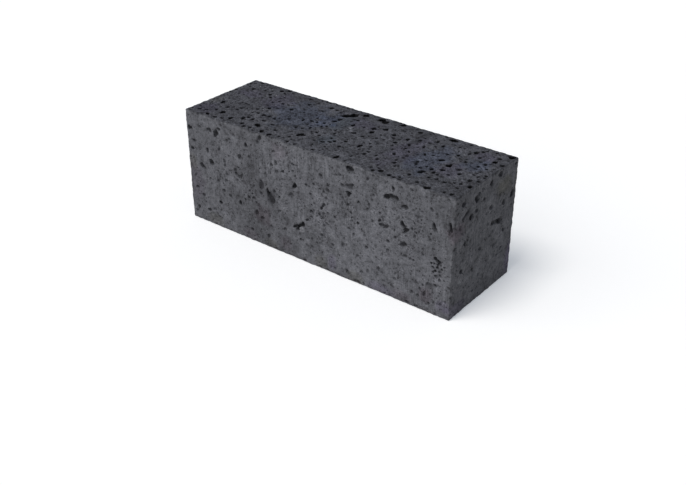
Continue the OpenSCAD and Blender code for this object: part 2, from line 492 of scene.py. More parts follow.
smooth_holes = [kept_inside(hole) for hole in listed_holes(
    (FRONT, OPEN_SHARE, FRONT_BLACK), (FRONT, DEEP_SHARE, FRONT_DARK),
    (FRONT, SMOOTH_SHARE, FRONT_SMOOTH), (FRONT, WIDE_SHARE, FRONT_WIDE),
    (RIGHT, SMOOTH_SHARE, RIGHT_SMOOTH), (FRONT, OPEN_SHARE, FRONT_CLUSTER))]
hand_holes = [kept_inside(hole) for hole in listed_holes(
    (FRONT, DEEP_SHARE, FRONT_DEEP), (FRONT, PLAIN_SHARE, FRONT_PLAIN),
    (FRONT, MIDDLE_SHARE, FRONT_HORSESHOE), (TOP, OPEN_SHARE, TOP_DEEP),
    (TOP, MIDDLE_SHARE, TOP_PLAIN), (RIGHT, MIDDLE_SHARE, RIGHT_DEEP),
    (RIGHT, PLAIN_SHARE, RIGHT_PLAIN))]
hand_dents = listed_holes((FRONT, None, FRONT_DENTS), (RIGHT, None, RIGHT_DENTS))
print("placed", len(hand_holes) + len(smooth_holes), "holes and", len(hand_dents), "dents by hand")

# %% [markdown]
# ## Lobes
#
# A large hole is seldom round: several bubbles met there, or crumbs broke off its rim. Most of
# the larger holes become a smaller core with a few lobes that reach out to its outline. The
# smooth ones stay whole, because their outline was chosen with care. The lobes come from a
# seeded draw, so each run gives the same brick.

# %% Break up the larger holes
SEED = 20
LOBED_FROM, CORE_SHARE = 4.0, 0.88
LOBE_COUNTS, LOBE_SHARES = (3, 4), (0.36, 0.6)
LOBE_REACHES, LOBE_DEPTHS = (1.0, 1.2), (0.5, 0.85)
LOBE_STRAY = 0.3
dice = random.Random(SEED)


def broken_up(hole):
    """A larger hole as a smaller core with three or four lobes that reach out to its outline."""
    parts = [hole._replace(wide=hole.wide * CORE_SHARE, tall=hole.tall * CORE_SHARE)]
    start = dice.uniform(0, math.tau)
    count = dice.choice(LOBE_COUNTS)
    for number in range(count):
        angle = start + math.tau * (number + dice.uniform(-LOBE_STRAY, LOBE_STRAY)) / count
        share = dice.uniform(*LOBE_SHARES)
        reach = (dice.uniform(*LOBE_REACHES) - share) / 2
        across = reach * hole.wide * math.cos(angle)
        upright = reach * hole.tall * math.sin(angle)
        turn = math.radians(hole.turn)
        parts.append(hole._replace(
            along=hole.along + across * math.cos(turn) - upright * math.sin(turn),
            up=hole.up + across * math.sin(turn) + upright * math.cos(turn),
            wide=hole.wide * share, tall=hole.tall * share,
            depth=hole.depth * dice.uniform(*LOBE_DEPTHS)))
    return parts


def ragged_holes(holes):
    """Breaks up the larger ones of these holes, and leaves the others."""
    return [part for hole in holes
            for part in (broken_up(hole) if max(hole.wide, hole.tall) > LOBED_FROM else [hole])]


large_holes = ragged_holes(hand_holes)
print("the hand-placed holes are now", len(large_holes), "balls")

# %% [markdown]
# ## The small holes in between
#
# Between the larger holes every face has hundreds of small ones, and their places follow no
# plan, so they are scattered. They could be drawn one by one with no regard to each other, but
# then many would fall on top of a hole that is there already. So a new hole is kept only if it
# has room. To know that without comparing it with all the others, a crowd sorts them into cubes
# of space, and only the cubes around the new hole are searched.

# %% Remember where the holes are
CUBE = 9 * MM


class Crowd:
    """Remembers balls by the cube of space that they lie in, so that near ones are found fast."""

    def __init__(self, holes):
        self.cubes = defaultdict(list)
        for hole in holes:
            self.add(*ball_reach(hole))

    def cube(self, place):
        return tuple(math.floor(value / CUBE) for value in place)

    def add(self, place, reach):
        self.cubes[self.cube(place)].append((place, reach))

    def has_room(self, place, reach, gap):
        """Says whether a new ball keeps its distance from all the balls around it."""
        home = self.cube(place)
        for step in product((-1, 0, 1), repeat=3):
            neighbours = self.cubes.get(tuple(a + b for a, b in zip(home, step)), ())
            for other, other_reach in neighbours:
                if (place - other).length < reach + other_reach + gap:
                    return False
        return True


crowd = Crowd(hand_holes + smooth_holes)
print("the crowd starts in", len(crowd.cubes), "cubes")

# %% [markdown]
# ## Where the small holes lie
#
# First come patches, where froth lay against the mould and small holes crowd together. A patch
# is written as its middle along and up the face, and its reach along and up. Then every face
# gets its own share of single holes. The wearing face on top is the most open, and small holes
# are far more common than large ones, so a draw between 0 and 1 is raised to a power first.

# %% Say where the small holes crowd
SCATTER_GAP, PATCH_GAP = 0.35 * MM, -0.25 * MM
TRIES, FAVOUR_SMALL = 4, 2.2
SLIMMEST, TALLEST = 0.6, 1.5
HALF_TURN, GATHERED = 180, 0.5
SQUARE_CM, PATCH_CROWD = 100, 37
FRONT_PATCHES = [
    (114, 38, 7, 22), (118, 56, 8, 6), (135, 48, 8, 12), (159, 52, 9, 8), (177, 45, 12, 18),
    (200, 33, 6, 9), (82, 38, 6, 14), (56, 33, 8, 5), (184, 56, 9, 6), (197, 14, 8, 8),
    (92, 62, 8, 7), (30, 40, 10, 8),
]
TOP_PATCHES = [
    (48, 20, 16, 10), (104, 20, 9, 11), (120, 44, 10, 12), (180, 26, 12, 10), (200, 40, 7, 9),
    (145, 38, 10, 14),
]
# The widths of a kind of hole in millimetres, and its depths as shares of its smaller width.
Kind = namedtuple("Kind", "smallest largest shallowest deepest")
FROTH = Kind(0.8, 2.2, 0.4, 0.9)
# A face, the number of holes on a square centimetre of it, and their kind.
SINGLE_HOLES = (
    (TOP, 7.2, Kind(1.0, 2.5, 0.5, 0.85)), (FRONT, 1.5, Kind(1.0, 2.4, 0.25, 0.6)),
    (RIGHT, 1.4, Kind(1.0, 2.4, 0.2, 0.45)), (BACK, 0.7, Kind(2.2, 5.4, 0.35, 0.8)),
    (BACK, 2.4, Kind(0.9, 2.4, 0.25, 0.7)), (LEFT, 0.6, Kind(2.2, 5.4, 0.35, 0.8)),
    (LEFT, 2.2, Kind(0.9, 2.4, 0.25, 0.7)), (BED, 2.0, Kind(1.0, 3.4, 0.35, 0.85)),
)
print("the patches lie on", len(FRONT_PATCHES) + len(TOP_PATCHES), "spots")

# %% Helpers that scatter small holes


def anywhere(face):
    """A random spot on a face."""
    face_along, face_up = face.size
    return dice.uniform(0, face_along), dice.uniform(0, face_up)


def within(patch):
    """A random spot in a patch, more often near its middle."""
    along, up, reach_along, reach_up = patch
    return dice.gauss(along, GATHERED * reach_along), dice.gauss(up, GATHERED * reach_up)


def scattered_holes(face, wanted, pick, gap, kind):
    """Draws small holes for one face, each clear of all the holes that are there already."""
    found = []
    for _ in range(wanted * TRIES):
        if len(found) == wanted:
            break
        along, up = pick()
        wide = kind.smallest + (kind.largest - kind.smallest) * dice.random() ** FAVOUR_SMALL
        tall = wide * dice.uniform(SLIMMEST, TALLEST)
        depth = min(wide, tall) * dice.uniform(kind.shallowest, kind.deepest)
        turn = dice.uniform(0, HALF_TURN)
        spot = kept_inside(Hole(face, along, up, wide, tall, turn, depth, HOLE_SINK))
        place, reach = ball_reach(spot)
        if crowd.has_room(place, reach, gap):
            crowd.add(place, reach)
            found.append(spot)
    return found


# %% Scatter the small holes
small_holes = []
for face, patches in ((FRONT, FRONT_PATCHES), (TOP, TOP_PATCHES)):
    for patch in patches:
        _, _, reach_along, reach_up = patch
        wanted = round(PATCH_CROWD * reach_along * reach_up / SQUARE_CM)
        small_holes += scattered_holes(face, wanted, lambda: within(patch), PATCH_GAP, FROTH)
for face, crowding, kind in SINGLE_HOLES:
    wanted = round(crowding * face.size[0] * face.size[1] / SQUARE_CM)
    small_holes += scattered_holes(face, wanted, lambda: anywhere(face), SCATTER_GAP, kind)
print("scattered", len(small_holes), "small holes")

# %% [markdown]
# ## Nicks along the arrises
#
# Bricks knock against each other on the pallet, so the sharp arrises lose crumbs. The corners
# of the mesh could be pushed about one by one, but the tool for holes does it too: a nick is a
# shallow dent whose middle lies on the edge of a face.

# %% Scatter the nicks
NICK_SPACING, CORNER_ROOM = 13.0, 1
NICK_LENGTHS, NICK_WIDTHS, NICK_DEPTHS = (1.5, 4.5), (1.2, 2.2), (0.1, 0.32)
nicks = []
for face in (FRONT, TOP, RIGHT, BACK, LEFT, BED):
    face_along, face_up = face.size
    for run, other, is_along in ((face_along, face_up, True), (face_up, face_along, False)):
        for _ in range(round(run / NICK_SPACING)):
            spot = dice.uniform(CORNER_ROOM, run - CORNER_ROOM)
            edge = dice.choice((0, other))
            long_way, short_way = dice.uniform(*NICK_LENGTHS), dice.uniform(*NICK_WIDTHS)
            depth = dice.uniform(*NICK_DEPTHS)
            if is_along:
                nicks.append(Hole(face, spot, edge, long_way, short_way, 0, depth, DENT_SINK))
            else:
                nicks.append(Hole(face, edge, spot, short_way, long_way, 0, depth, DENT_SINK))
print("scattered", len(nicks), "nicks")

# %% [markdown]
# ## Cutting the holes
#
# A Boolean modifier takes one mesh away from another. One modifier for each hole would take
# minutes, and its fast solver asks that a cutter doesn't overlap itself. So the balls are sorted
# into passes in which none touches another, and each pass is joined into one cutter. Every ball
# is a tumbled copy of one of the lumpy ones, so that no two holes are alike. The holes that keep
# their outline all get the least lumpy one, which is the first.

# %% Sort the holes into passes
# The lumps of a ball stick out of it, so it gets this many times its own reach as room.
TOUCHING = 1.3


def sort_into_passes(holes):
    """Sorts holes into lists in which no two balls can touch."""
    balls_there = [hole_frame(hole) for hole in holes]
    places = [place for place, _, _ in balls_there]
    reaches = [TOUCHING * max(halves) for _, _, halves in balls_there]
    nearby = KDTree(len(holes))
    for number, place in enumerate(places):
        nearby.insert(place, number)
    nearby.balance()
    widest = max(reaches)
    turns = []
    for number, place in enumerate(places):
        found = nearby.find_range(place, reaches[number] + widest)
        taken = {turns[other] for _, other, gap in found
                 if other < number and gap < reaches[number] + reaches[other]}
        turns.append(min(set(range(len(taken) + 1)) - taken))
    return [[hole for hole, turn in zip(holes, turns) if turn == wanted]
            for wanted in range(max(turns) + 1)]


all_holes = large_holes + smooth_holes + ragged_holes(small_holes) + hand_dents + nicks
passes = sort_into_passes(all_holes)
print(len(all_holes), "holes go into", len(passes), "passes")

# %% Cut the holes


def joined_balls(holes):
    """One object made of a copied ball for each hole."""
    bpy.ops.object.select_all(action="DESELECT")
    for hole in holes:
        place, spin, halves = hole_frame(hole)
        ball = (balls[0] if hole in smooth_holes else dice.choice(balls)).copy()
        ball.data = ball.data.copy()
        tumble = Euler([dice.uniform(0, math.tau) for _ in range(3)]).to_matrix()
        ball.data.transform(tumble.to_4x4())
        ball.matrix_world = (Matrix.Translation(place) @ spin.to_4x4()
                             @ Matrix.Diagonal((*halves, 1)))
        bpy.context.scene.collection.objects.link(ball)
        ball.select_set(True)
        bpy.context.view_layer.objects.active = ball
    if len(holes) > 1:
        bpy.ops.object.join()
    cutter = bpy.context.object
    settle(cutter)
    return cutter


for number, holes in enumerate(passes):
    cutter = joined_balls(holes)
    apply_modifier(brick, "BOOLEAN", operation="DIFFERENCE", solver="MANIFOLD", object=cutter)
    bpy.data.objects.remove(cutter)
    print(f"pass {number + 1} cut {len(holes)} holes; the brick has {len(brick.data.polygons)} faces")

for ball in balls:
    bpy.data.objects.remove(ball)

# %% [markdown]
# ## The cast skin
#
# The cut block is still perfectly flat between its holes. Concrete never is. Where the mix
# lay tight against the mould the skin is flat, and where it didn't quite fill the mould the
# skin sinks in a little. A voxel remesh lays an even net of small faces over everything, and
# two Displace modifiers move that net in and out. Later, whatever stands out past the mould
# is pressed flat, which leaves the flat skin and the shallow hollows of a real casting.

# %% Give the skin its hollows
VOXEL = 0.34 * MM
WAVE_SIZE, WAVE_DEPTH = 9 * MM, 0.3 * MM
HOLLOW_SIZE, HOLLOW_DEPTH = 3.2 * MM, 0.75 * MM
SKIN_LEVEL, SKIN_DETAIL = 0.52, 2

apply_modifier(brick, "REMESH", mode="VOXEL", voxel_size=VOXEL, use_smooth_shade=True)
print("the net has", len(brick.data.polygons), "faces")

for name, size, strength in (("waves", WAVE_SIZE, WAVE_DEPTH),
                             ("hollows", HOLLOW_SIZE, HOLLOW_DEPTH)):
    pattern = bpy.data.textures.new(name, "CLOUDS")
    pattern.noise_scale = size
    pattern.noise_depth = SKIN_DETAIL
    apply_modifier(brick, "DISPLACE", texture=pattern, texture_coords="LOCAL",
                   strength=strength, mid_level=SKIN_LEVEL)

# %% [markdown]
# ## A lighter mesh
#
# The net is needed where a rim or a hollow bends it, and wasted where the skin runs flat.
# Decimate merges the faces that say the least, until the brick is light enough to share.
# Then every point that lies outside the mould's own box is moved back onto it, so that the
# brick keeps its true size and lies flat on its bed.

# %% Thin the mesh and press it flat
MOST_TRIANGLES = 196000


def count_triangles(thing):
    """How many triangles an object's mesh has, once every face is cut into triangles."""
    return sum(len(face.vertices) - 2 for face in thing.data.polygons)


apply_modifier(brick, "DECIMATE", ratio=MOST_TRIANGLES / count_triangles(brick))
for corner in brick.data.vertices:
    corner.co = [min(max(value, lowest), highest)
                 for value, lowest, highest in zip(corner.co, low, high)]
select_only(brick)
bpy.ops.object.shade_smooth()
print("the thinned mesh has", count_triangles(brick), "triangles")

# %% [markdown]
# ## Loose crumbs
#
# Two holes that meet can cut a crumb free, and a crumb that hangs in the air is no part of a
# brick. One corner point of the block certainly belongs to the brick itself, so all that isn't
# joined to it is deleted.

# %% Delete loose crumbs
bpy.ops.object.mode_set(mode="EDIT")
bpy.ops.mesh.select_all(action="DESELECT")
bpy.ops.object.mode_set(mode="OBJECT")
nearest_low = min(brick.data.vertices, key=lambda corner: (corner.co - low).length)
nearest_low.select = True
bpy.ops.object.mode_set(mode="EDIT")
bpy.ops.mesh.select_linked()
bpy.ops.mesh.select_all(action="INVERT")
bpy.ops.mesh.delete(type="VERT")
bpy.ops.object.mode_set(mode="OBJECT")
print("without crumbs the mesh has", count_triangles(brick), "triangles")

# %% [markdown]
# ## The concrete
#
# Dark concrete is sand and stone in a film of cement with black pigment. The film is matt and
# nearly neutral, with a breath of blue, but it is never one grey. It is cloudy where water
# gathered, speckled where sand shows, and streaked where the mould slid off. An image wrapped
# around the brick would smear down the walls of the holes. So the finish is worked out from
# noise in the brick's own space, which reaches everywhere.
#
# A material is a net of small nodes, and a net of hundreds is hard to read once it is written
# out. These helpers each add one kind of node and hand back its result. A value may be a number,
# which is set on the node, or a socket of another node, which is joined to it.

# %% Helpers that add nodes


def add_node(tree, kind, **settings):
    """Adds a node to a material and sets its options."""
    made = tree.nodes.new("ShaderNode" + kind)
    for name, value in settings.items():
        setattr(made, name, value)
    return made


def plug(tree, value, socket):
    """Feeds a socket from another socket, or sets it to a plain value."""
    if isinstance(value, bpy.types.NodeSocket):
        tree.links.new(value, socket)
    else:
        socket.default_value = value


def maths(tree, operation, *values):
    """A Math node's result. Each value is a number or a socket."""
    made = add_node(tree, "Math", operation=operation)
    for value, socket in zip(values, made.inputs):
        plug(tree, value, socket)
    return made.outputs[0]


def ramp(tree, value, start, end, start_value=0.0, end_value=1.0):
    """Turns value smoothly from start_value at start into end_value at end."""
    made = add_node(tree, "MapRange", interpolation_type="SMOOTHSTEP")
    for item, name in ((value, "Value"), (start, "From Min"), (end, "From Max"),
                       (start_value, "To Min"), (end_value, "To Max")):
        plug(tree, item, made.inputs[name])
    return made.outputs["Result"]


# %% Helpers that mix colours and make noise
NOISE_MIDDLE = 0.5


def mix_colours(tree, share, first, second, blend="MIX"):
    """Mixes two colours by share."""
    made = add_node(tree, "Mix", data_type="RGBA", blend_type=blend)
    plug(tree, share, made.inputs["Factor"])
    plug(tree, first, made.inputs["A"])
    plug(tree, second, made.inputs["B"])
    return made.outputs["Result"]


def cloud(tree, place, size, detail=2.0, stretch=(1, 1, 1)):
    """Soft noise with lumps of about this size in metres, longer where stretch is larger."""
    mapping = add_node(tree, "Mapping")
    plug(tree, place, mapping.inputs["Vector"])
    mapping.inputs["Scale"].default_value = [1 / (size * part) for part in stretch]
    made = add_node(tree, "TexNoise")
    made.inputs["Scale"].default_value = 1
    made.inputs["Detail"].default_value = detail
    tree.links.new(mapping.outputs["Vector"], made.inputs["Vector"])
    return made.outputs["Fac"]


def varied(tree, tone, noise, swing):
    """Lets a noise from 0 to 1 turn a tone lighter and darker, by half of swing each way."""
    centred = maths(tree, "SUBTRACT", noise, NOISE_MIDDLE)
    return maths(tree, "MULTIPLY", tone, maths(tree, "MULTIPLY_ADD", centred, swing, 1.0))


# %% [markdown]
# ## Where a point of the skin lies
#
# The finish depends on the place. The wearing face on top is darker than the sides, a hole gets
# painted shade that is darker the deeper it goes, and the arrises are painted pale, partly as wear
# and partly as a painted highlight. All of this could be painted on the mesh by hand. But the brick
# is a plain box, so a few sums on the Object coordinates tell how far any point lies from each face
# of the mould. The border between the top's finish and the sides' follows the arris, and a noise
# makes it ragged.

# %% Measure how far a point lies from the faces of the mould
concrete = bpy.data.materials.new("concrete_skin")
concrete.use_nodes = True
tree = concrete.node_tree
place = add_node(tree, "TexCoord").outputs["Object"]
parts = add_node(tree, "SeparateXYZ")
plug(tree, place, parts.inputs["Vector"])


def distance_inside(axis):
    """How far a point lies inside the nearer of the two faces across one axis."""
    from_middle = maths(tree, "SUBTRACT", parts.outputs[axis], middle[axis])
    half = (high[axis] - low[axis]) / 2
    return maths(tree, "SUBTRACT", half, maths(tree, "ABSOLUTE", from_middle))


to_end, to_side, to_flat = (distance_inside(axis) for axis in range(3))
to_back = maths(tree, "SUBTRACT", high.y, parts.outputs["Y"])
to_top = maths(tree, "SUBTRACT", high.z, parts.outputs["Z"])
to_wall = maths(tree, "MINIMUM", to_end, to_side)
depth = maths(tree, "MINIMUM", to_flat, to_wall)

# %% Tell the top from the sides
BORDER_LUMPS, BORDER_WANDER, BORDER_SOFTNESS = 7 * MM, 2.5 * MM, 1.2 * MM
border_noise = cloud(tree, place, BORDER_LUMPS, detail=3)
ragged = maths(tree, "MULTIPLY_ADD", border_noise, 2 * BORDER_WANDER, -BORDER_WANDER)
top_lead = maths(tree, "ADD", maths(tree, "SUBTRACT", to_wall, to_top), ragged)
on_top = ramp(tree, top_lead, -BORDER_SOFTNESS, BORDER_SOFTNESS)
print("knowing where a point lies takes", len(tree.nodes), "nodes")

# %% [markdown]
# ## Patches
#
# Some finishes belong to one place: a stain, a rough stretch, a streaked one. Each is written as
# an oval on a face, in millimetres: its middle along and up the face, and its reach along and
# up. A noise bends its outline until no oval can be made out. It goes only a little way into the
# brick, so that a stain on the front doesn't show on the back.

# %% Mark out patches on a face
PATCH_DEPTH_MM, SMALL_PATCH_MM = 9, 6
WANDER_SIZE, LARGE_WANDER, SMALL_WANDER = 9 * MM, 1.6, 0.6
PATCH_EDGE, PATCH_CORE = 1.1, 0.45
wander = maths(tree, "SUBTRACT", cloud(tree, place, WANDER_SIZE, detail=3), NOISE_MIDDLE)


def patch_share(face, along, up, reach_along, reach_up):
    """1 inside an oval patch on a face and 0 outside, with a soft and wandering edge."""
    reach = [MM * (abs(a) * reach_along + abs(u) * reach_up + abs(o) * PATCH_DEPTH_MM)
             for a, u, o in zip(face.along, face.up, face.out)]
    centred = add_node(tree, "VectorMath", operation="MULTIPLY_ADD")
    plug(tree, place, centred.inputs[0])
    centred.inputs[1].default_value = [1 / part for part in reach]
    centred.inputs[2].default_value = [
        -value / part for value, part in zip(face.point(along, up), reach)]
    away = add_node(tree, "VectorMath", operation="LENGTH")
    plug(tree, centred.outputs["Vector"], away.inputs[0])
    wandering = LARGE_WANDER if min(reach_along, reach_up) > SMALL_PATCH_MM else SMALL_WANDER
    bent = maths(tree, "MULTIPLY_ADD", wander, wandering, away.outputs["Value"])
    return ramp(tree, bent, PATCH_EDGE, PATCH_CORE)


def strongest(patches, elsewhere, inside):
    """The strength of a finish: inside in some patches, and elsewhere outside them."""
    strength = elsewhere
    for face, patch in patches:
        here = maths(tree, "MULTIPLY", patch_share(face, *patch), inside)
        strength = maths(tree, "MAXIMUM", strength, here)
    return strength


# %% [markdown]
# ## The cement's colour
#
# Two greys are enough for the cement itself: one for the sides, and a darker one for the top.
# What makes them concrete is the tone they are multiplied by. Five noises change it, from clouds
# some three centimetres wide down to grains of sand. The grain is stronger where the holes crowd
# together, and on some stretches upright streaks tell how the mould was lifted off.

# %% Choose the two greys and the five noises
SIDE_CEMENT = (0.105, 0.1075, 0.1205, 1)
TOP_CEMENT = (0.0660, 0.0677, 0.0788, 1)
BROAD_SIZE, MEDIUM_SIZE, BLOTCH_SIZE = 34 * MM, 8 * MM, 2.4 * MM
FINE_SIZE, STREAK_SIZE, STREAK_STRETCH = 0.75 * MM, 0.9 * MM, (1, 1, 15)
cement = mix_colours(tree, on_top, SIDE_CEMENT, TOP_CEMENT)
broad = cloud(tree, place, BROAD_SIZE)
medium = cloud(tree, place, MEDIUM_SIZE, detail=3)
blotch = cloud(tree, place, BLOTCH_SIZE)
fine = cloud(tree, place, FINE_SIZE)
streak = cloud(tree, place, STREAK_SIZE, detail=1, stretch=STREAK_STRETCH)
print("with two greys and five noises there are", len(tree.nodes), "nodes")

# %% Let the noises change the tone
BROAD_SWING, MEDIUM_SWING, BLOTCH_SWING = 0.6, 0.8, 0.95
FINE_SWING, ROUGH_SWING = 1.15, 2.0
STREAK_SWING, STREAKED_SWING = 0.35, 1.05
ROUGH_PATCHES = 8
ROUGH = [(FRONT, patch) for patch in FRONT_PATCHES[:ROUGH_PATCHES]]
STREAKED = [
    (FRONT, (100, 38, 12, 18)), (FRONT, (188, 12, 26, 16)), (FRONT, (112, 72, 26, 10)),
    (FRONT, (136, 46, 8, 16)), (FRONT, (205, 60, 8, 20)), (FRONT, (66, 60, 14, 20)),
    (BACK, (50, 40, 40, 40)), (BACK, (150, 46, 30, 36)), (LEFT, (40, 40, 24, 40)),
    (RIGHT, (20, 40, 14, 16)),
]
tone = varied(tree, 1.0, broad, BROAD_SWING)
tone = varied(tree, tone, medium, MEDIUM_SWING)
tone = varied(tree, tone, blotch, BLOTCH_SWING)
tone = varied(tree, tone, fine, strongest(ROUGH, FINE_SWING, ROUGH_SWING))
tone = varied(tree, tone, streak, strongest(STREAKED, STREAK_SWING, STREAKED_SWING))
print("the streaks run on", len(STREAKED), "stretches")

# %% Add smudges, and give the top more contrast
SMUDGE, SMUDGE_EDGE, SMUDGE_CORE = 0.35, 0.42, 0.30
SMUDGED_FROM, SMUDGED_FULLY = 0.56, 0.44
TOP_CONTRAST = 0.5
smudge = ramp(tree, blotch, SMUDGE_EDGE, SMUDGE_CORE, 0.0, SMUDGE)
smudge = maths(tree, "MULTIPLY", smudge, ramp(tree, medium, SMUDGED_FROM, SMUDGED_FULLY))
tone = maths(tree, "MULTIPLY", tone, maths(tree, "SUBTRACT", 1.0, smudge))
tone = maths(tree, "POWER", tone, maths(tree, "MULTIPLY_ADD", on_top, TOP_CONTRAST, 1.0))
print("the cement's own colour takes", len(tree.nodes), "nodes so far")

# %% [markdown]
# ## Pin holes
#
# Below half a millimetre the blow holes are too small and too many for the mesh. A Voronoi
# texture fills space with cells, each around a point of its own, and a dark dot around the point
# stands for a pin hole: the dot is painted shade, since the hole isn't in the mesh. The cell's
# random colour says how large the dot is and whether it is there at all. The space is bent a
# little first, so that the dots aren't round.

# %% Add pin holes in two sizes
PIN_SHADE, LUCKY_SHARE = -0.55, 0.6
PIN_EDGE, PIN_CORE = 1.15, 0.6
# The size of the cells, and the radius of their smallest and largest pin holes.
LARGE_PINS = (2.3 * MM, 0.3 * MM, 0.62 * MM)
SMALL_PINS = (1.4 * MM, 0.18 * MM, 0.36 * MM)
BEND_SIZE, BEND = 1.4 * MM, 0.9 * MM

sway = add_node(tree, "TexNoise")
plug(tree, place, sway.inputs["Vector"])
sway.inputs["Scale"].default_value = 1 / BEND_SIZE
bend = add_node(tree, "VectorMath", operation="MULTIPLY_ADD")
plug(tree, sway.outputs["Color"], bend.inputs[0])
bend.inputs[1].default_value = (BEND, BEND, BEND)
plug(tree, place, bend.inputs[2])


def pores(cell, smallest, largest):
    """1 inside a pin hole and 0 outside, with at most one pin hole in each cell."""
    cells = add_node(tree, "TexVoronoi", feature="F1", distance="EUCLIDEAN")
    plug(tree, 1 / cell, cells.inputs["Scale"])
    plug(tree, bend.outputs["Vector"], cells.inputs["Vector"])
    luck = add_node(tree, "SeparateColor")
    plug(tree, cells.outputs["Color"], luck.inputs["Color"])
    size = ramp(tree, luck.outputs["Red"], 0, 1, smallest / cell, largest / cell)
    away = maths(tree, "DIVIDE", cells.outputs["Distance"], size)
    picked = maths(tree, "LESS_THAN", luck.outputs["Green"], LUCKY_SHARE)
    return maths(tree, "MULTIPLY", ramp(tree, away, PIN_EDGE, PIN_CORE), picked)


pin_holes = maths(tree, "MAXIMUM", pores(*LARGE_PINS), pores(*SMALL_PINS))
# Painted shade: the pin holes darken the cement.
tone = maths(tree, "MULTIPLY", tone, maths(tree, "MULTIPLY_ADD", pin_holes, PIN_SHADE, 1.0))
print("with the pin holes there are", len(tree.nodes), "nodes")

# %% [markdown]
# ## Stains, with some painted shade and sheen
#
# The mix is never the same throughout. Iron in the sand makes brown and pink spots, lime rises
# as a pale bloom with a teal or lilac cast, and wet mixes set darker. Some tints are painted light
# instead: the blue patches on the top are a painted sheen, the darkest tint is painted shade in
# three wide, shallow holes, and SHADE over the whole right end is painted shade that makes that end
# darker than the front. Each stain is a tint for the cement, and the patches where it lies. A tint
# multiplies what is there, so stains may overlap like glazes of thin paint.

# %% Choose the tints of the stains
BLUE_SHEEN, TEAL, LILAC = (0.92, 0.99, 1.13, 1), (0.93, 1.0, 1.04, 1), (1.02, 0.975, 1.08, 1)
VIOLET, PINK = (0.89, 0.85, 0.89, 1), (1.0, 0.945, 0.965, 1)
BROWN, OLIVE = (0.76, 0.70, 0.72, 1), (0.95, 0.94, 0.88, 1)
DIM, DARK, BASIN_SHADE = (0.90, 0.90, 0.90, 1), (0.80, 0.80, 0.80, 1), (0.6, 0.6, 0.61, 1)
LIGHT, PALE = (1.12, 1.12, 1.12, 1), (1.9, 1.9, 1.87, 1)
# SHADE darkens a band of the front, and over the whole right end it is painted shade.
SHADE = (0.93, 0.93, 0.928, 1)
print("the darkest tint keeps", BASIN_SHADE[0], "of the light")

# %% List the stains of the front
FRONT_STAINS = [
    (DARK, [(60, 28, 24, 38), (59, 53, 8, 7), (48, 77, 15, 8), (82, 6, 16, 9), (205, 5, 6, 5),
            (85, 25, 6, 6), (110, 15, 6, 5), (195, 19.2, 5, 3.4), (204, 69, 8, 12),
            (0.6, 27, 1.8, 18)]),
    (DIM, [(186, 14, 9, 8), (207, 56, 6, 12), (65, 18, 7, 7), (81, 77, 8, 6), (5, 30, 8, 12),
           (105, 25, 8, 8), (185, 12, 10, 8), (190, 4, 22, 5), (64, 13, 6, 7), (65, 74, 7, 6),
           (15, 15, 6, 6), (114, 8, 8, 9)]),
    (LIGHT, [(155, 34, 16, 15), (104, 77, 8, 6), (114, 53, 8, 8), (73, 54, 6, 9), (5, 5, 9, 7),
             (203, 46, 6, 6), (203, 22, 6, 6), (155, 55, 7, 8), (144, 36, 7, 9), (95, 35, 7, 7)]),
    (SHADE, [(70, 25, 76, 10)]),
    # Painted shade: the darkest tint lies in three wide, shallow holes.
    (BASIN_SHADE, [(65.2, 45, 2.6, 5), (73.5, 37.6, 4.4, 5.8), (136.6, 65.2, 4.2, 2.4)]),
    (BROWN, [(66, 22, 9, 8), (193, 12, 6, 7)]),
    (PINK, [(82, 71, 8, 8), (85, 8, 6, 6), (54, 4, 8, 5), (176, 4, 9, 5)]),
    (OLIVE, [(22, 5, 9, 5), (73, 3, 7, 5), (114, 5, 7, 6), (142, 4, 8, 5), (4, 43, 5, 7)]),
    (LILAC, [(123, 8, 4, 7), (205, 8, 7, 5), (160, 3, 12, 5)]),
    (VIOLET, [(5, 28, 10, 17)]),
    (PALE, [(98.9, 22.9, 2.3, 2.3)]),
]
print("listed", sum(len(patches) for _, patches in FRONT_STAINS), "stains of the front")

# %% List the stains of the other faces
TOP_STAINS = [
    # Painted sheen: bluish patches on the top.
    (BLUE_SHEEN, [(68, 38, 25, 23), (86, 42, 9, 14), (170, 33, 13, 28), (196, 43, 10, 10)]),
    (TEAL, [(97, 45, 7, 15), (104, 19, 7, 9)]),
    (LILAC, [(152, 33, 11, 26), (187, 29, 10, 11), (193, 57, 9, 7), (40, 48, 13, 15),
             (14, 47, 12, 8), (109, 52, 12, 9), (9, 10, 10, 10)]),
    (OLIVE, [(4, 25, 6, 8)]),
    (DIM, [(24, 16, 9, 11), (36, 26, 14, 12), (46, 62, 14, 8), (85, 64, 8, 6), (182, 63, 16, 6),
           (44, 54, 7, 6)]),
    (LIGHT, [(198, 16, 18, 15), (204, 36, 8, 12), (200, 30, 12, 20), (203, 50, 8, 14),
             (95, 14, 8, 7), (115, 14, 8, 7), (180, 4, 34, 7), (112, 4, 8, 5), (5, 54, 5, 6),
             (158, 54, 9, 6), (75, 24, 7, 6), (4, 9, 8, 12), (55, 4, 9, 5), (104, 4, 9, 6),
             (153, 4, 6, 5), (5, 25, 6, 6)]),
    (PALE, [(105, 42, 2.2, 2.4), (106.6, 40, 2.2, 2.4), (108.2, 38.2, 1.8, 2),
            (166.2, 29.4, 1.8, 2)]),
]
